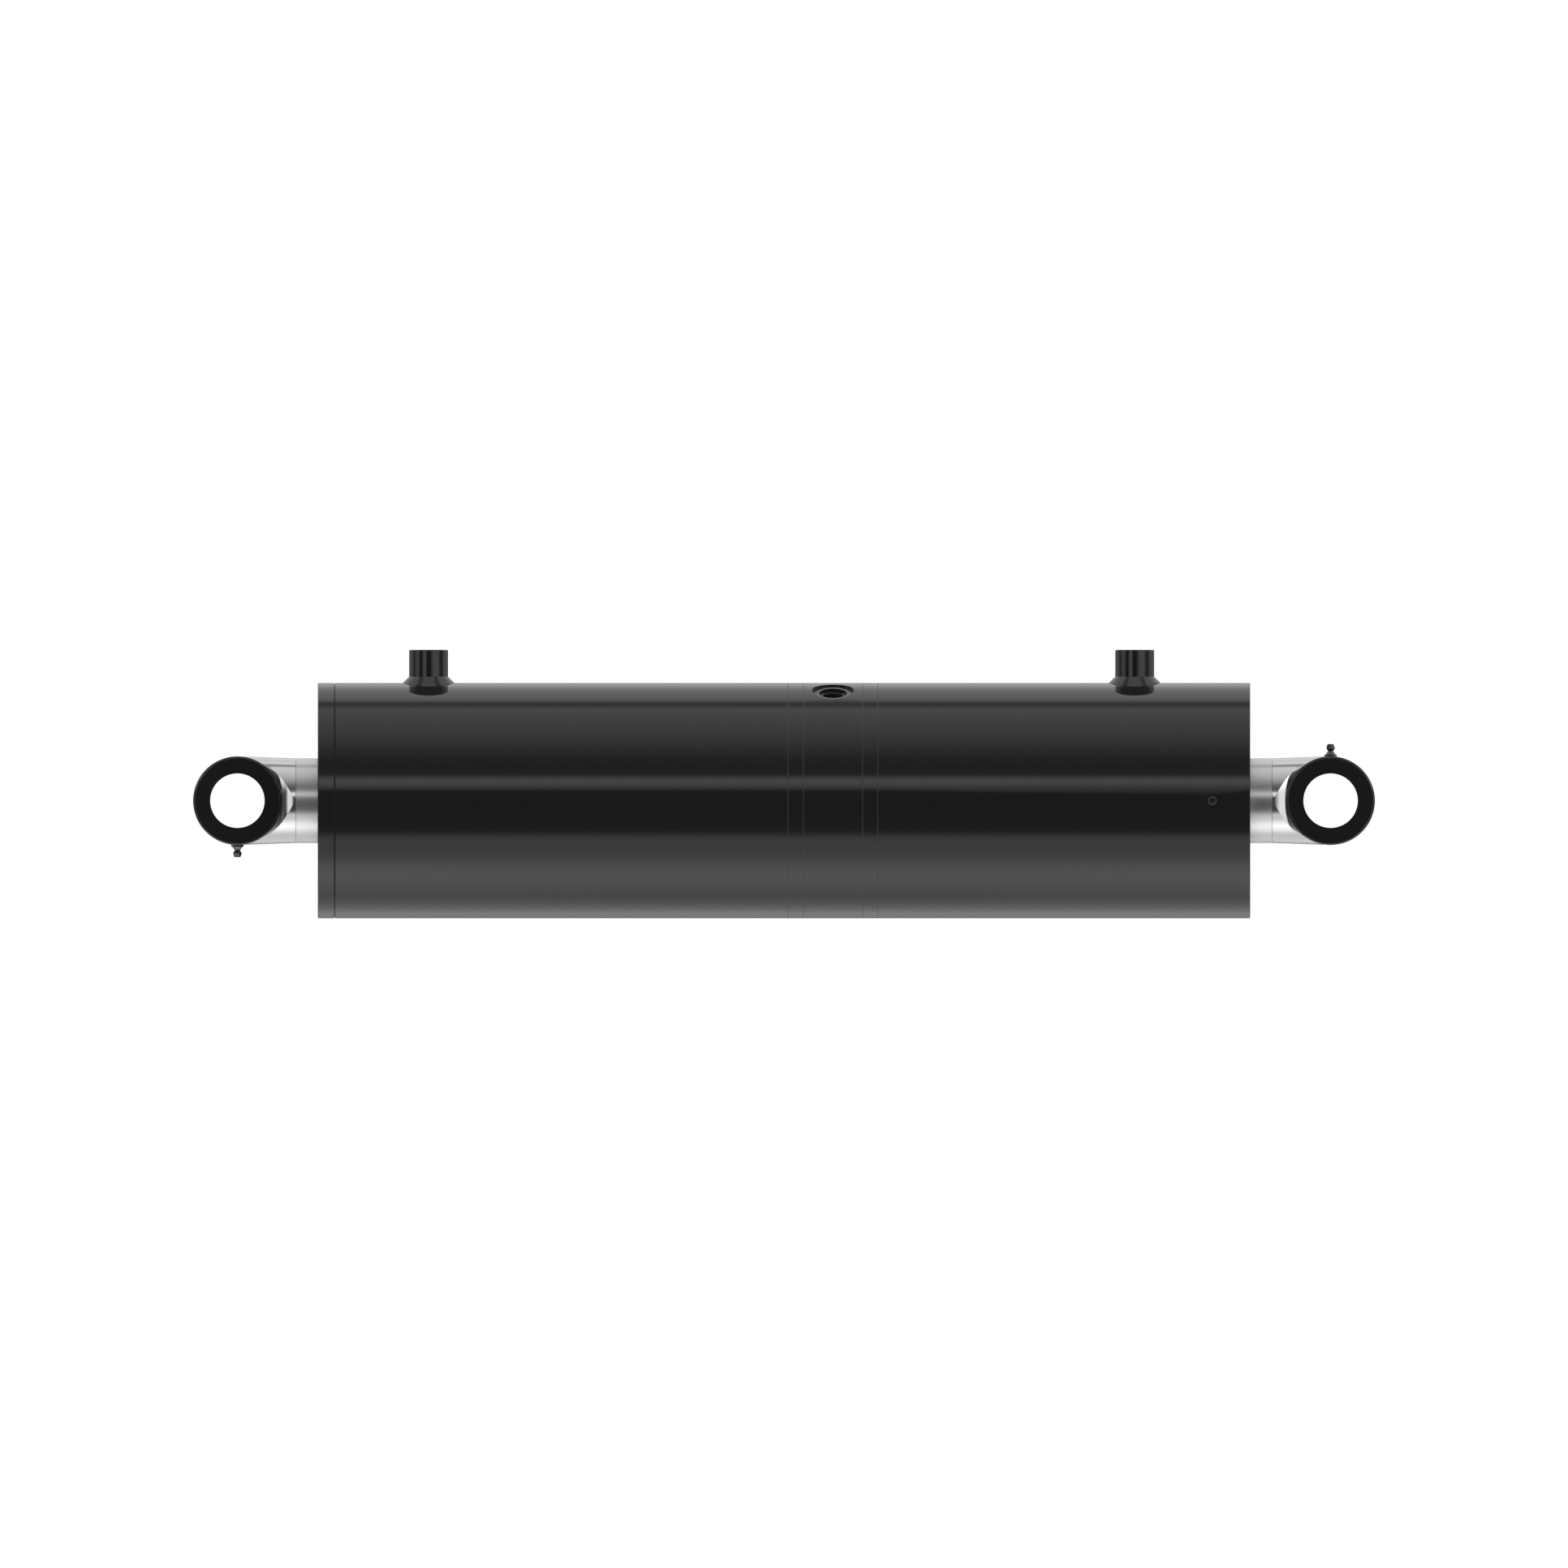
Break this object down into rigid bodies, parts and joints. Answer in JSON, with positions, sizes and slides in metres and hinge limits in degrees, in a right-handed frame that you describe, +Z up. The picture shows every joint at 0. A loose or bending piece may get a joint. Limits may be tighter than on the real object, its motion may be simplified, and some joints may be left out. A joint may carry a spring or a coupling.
{
  "type": "opposed-rod hydraulic cylinder",
  "caption": "Opposed-rod hydraulic cylinder: black welded barrel with threaded oil ports, and a chromed rod that slides out of each end to a cross-tube pin eye with a grease nipple.",
  "frame": {"origin": "centre of the left pin bore, with both rods fully in", "axes": "+X along the rods towards the right eye, +Y along the pins, +Z up the two boss ports"},
  "size_m": [0.879, 0.175, 0.1997],
  "materials": {
    "black_paint": "gloss black enamel over machined and welded steel",
    "machined_steel": "fine turned steel",
    "black_oxide": "oiled black oxide",
    "chrome": "ground and polished hard chrome",
    "bright_steel": "bright turned steel",
    "zinc_steel": "dark zinc plate",
    "ductile_iron": "machined ductile iron",
    "polyurethane": "satin cast polyurethane",
    "nitrile_rubber": "satin moulded rubber",
    "ptfe": "waxy white fluoropolymer",
    "guide_resin": "fabric-filled resin"
  },
  "bodies": {
    "barrel": {"left_tube": "black_paint", "right_tube": "black_paint", "centre_block": "black_paint", "left_block_weld": "black_paint", "right_block_weld": "black_paint", "left_port_boss": "black_paint", "right_port_boss": "black_paint", "left_boss_weld": "black_paint", "right_boss_weld": "black_paint", "left_gland": "black_paint", "right_gland": "machined_steel", "gland_lock_screws": "black_oxide", "left_gland_oring": "nitrile_rubber", "right_gland_oring": "nitrile_rubber", "left_gland_backup_ring": "ptfe", "right_gland_backup_ring": "ptfe", "left_rod_seal": "polyurethane", "right_rod_seal": "polyurethane", "left_wiper": "polyurethane", "right_wiper": "polyurethane", "left_rod_guides": "guide_resin", "right_rod_guides": "guide_resin"},
    "left_rings": {"left_piston_seal": "polyurethane", "left_piston_guides": "guide_resin"},
    "left_rod_assembly": {"left_rod": "chrome", "left_rod_end": "bright_steel", "left_eye": "black_paint", "left_grease_nipple": "zinc_steel", "left_piston": "ductile_iron", "left_piston_nut": "black_oxide", "left_piston_oring": "nitrile_rubber"},
    "right_rings": {"right_piston_seal": "polyurethane", "right_piston_guides": "guide_resin"},
    "right_rod_assembly": {"right_rod": "chrome", "right_rod_end": "bright_steel", "right_eye": "black_paint", "right_grease_nipple": "zinc_steel", "right_piston": "ductile_iron", "right_piston_nut": "black_oxide", "right_piston_oring": "nitrile_rubber"}
  },
  "joints": [
    {"name": "left_rod_slide", "type": "slide", "parent": "barrel", "child": "left_rings", "axis": [-1, 0, 0], "range_m": [0, 0.18]},
    {"name": "left_rod_swivel", "type": "hinge", "parent": "left_rings", "child": "left_rod_assembly", "pos_m": [0.3719, 0, 0], "axis": [-1, 0, 0], "continuous": true},
    {"name": "right_rod_slide", "type": "slide", "parent": "barrel", "child": "right_rings", "axis": [1, 0, 0], "range_m": [0, 0.105]},
    {"name": "right_rod_swivel", "type": "hinge", "parent": "right_rings", "child": "right_rod_assembly", "pos_m": [0.5139, 0, 0], "axis": [1, 0, 0], "continuous": true}
  ]
}
